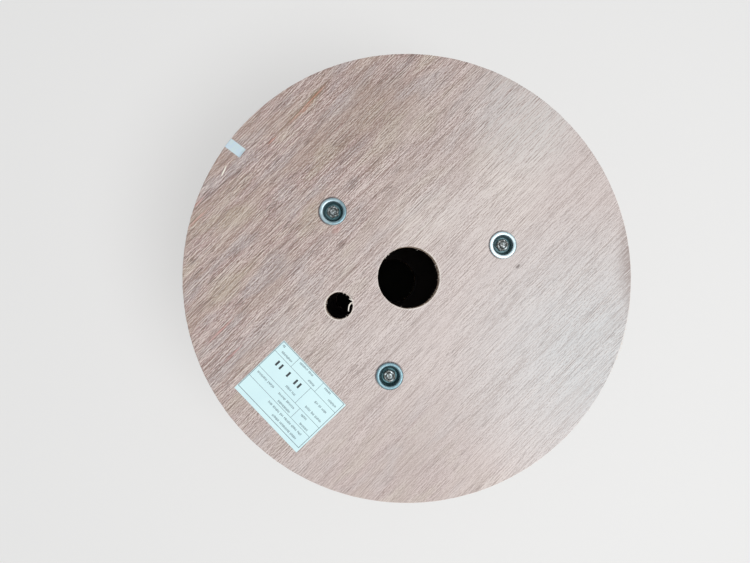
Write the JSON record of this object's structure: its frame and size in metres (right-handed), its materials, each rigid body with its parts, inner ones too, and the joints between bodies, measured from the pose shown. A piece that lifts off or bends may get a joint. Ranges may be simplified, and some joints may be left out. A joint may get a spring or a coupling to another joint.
{
  "type": "wooden cable drum",
  "caption": "Empty plywood cable drum standing on its end: round flanges on a barrel of wooden staves, held by threaded tie rods with recessed nuts in cup washers.",
  "frame": {"origin": "on the drum's axis, at the plane that the drum stands on", "axes": "+Z along the drum's axis, from the flange that it stands on to the flange with the label; +X and +Y across the flanges, with the first tie rod 19 degrees from +X towards +Y"},
  "size_m": [0.3999, 0.4, 0.2505],
  "materials": {
    "plywood": "raw, rotary-cut hardwood face veneer",
    "stave_wood": "raw sawn softwood",
    "zinc_steel": "bright zinc plate with a blue passivation",
    "label_paper": "matte white paper with fine ruled lines",
    "tape_paper": "pale translucent tape"
  },
  "bodies": {
    "root": {"cup_washer_lower_1": "zinc_steel", "cup_washer_lower_2": "zinc_steel", "cup_washer_lower_3": "zinc_steel", "cup_washer_upper_1": "zinc_steel", "cup_washer_upper_2": "zinc_steel", "cup_washer_upper_3": "zinc_steel", "edge_tape": "tape_paper", "flange_lower": "plywood", "flange_upper": "plywood", "label": "label_paper", "nut_lower_1": "zinc_steel", "nut_lower_2": "zinc_steel", "nut_lower_3": "zinc_steel", "nut_upper_1": "zinc_steel", "nut_upper_2": "zinc_steel", "nut_upper_3": "zinc_steel", "stave_01": "stave_wood", "stave_02": "stave_wood", "stave_03": "stave_wood", "stave_04": "stave_wood", "stave_05": "stave_wood", "stave_06": "stave_wood", "stave_07": "stave_wood", "stave_08": "stave_wood", "stave_09": "stave_wood", "stave_10": "stave_wood", "stave_11": "stave_wood", "stave_12": "stave_wood", "stave_13": "stave_wood", "stave_14": "stave_wood", "stave_15": "stave_wood", "stave_16": "stave_wood", "stave_17": "stave_wood", "stave_18": "stave_wood", "stave_19": "stave_wood", "stave_20": "stave_wood", "stave_21": "stave_wood", "stave_22": "stave_wood", "stave_23": "stave_wood", "stave_24": "stave_wood", "tie_rod_1": "zinc_steel", "tie_rod_2": "zinc_steel", "tie_rod_3": "zinc_steel"}
  },
  "joints": []
}
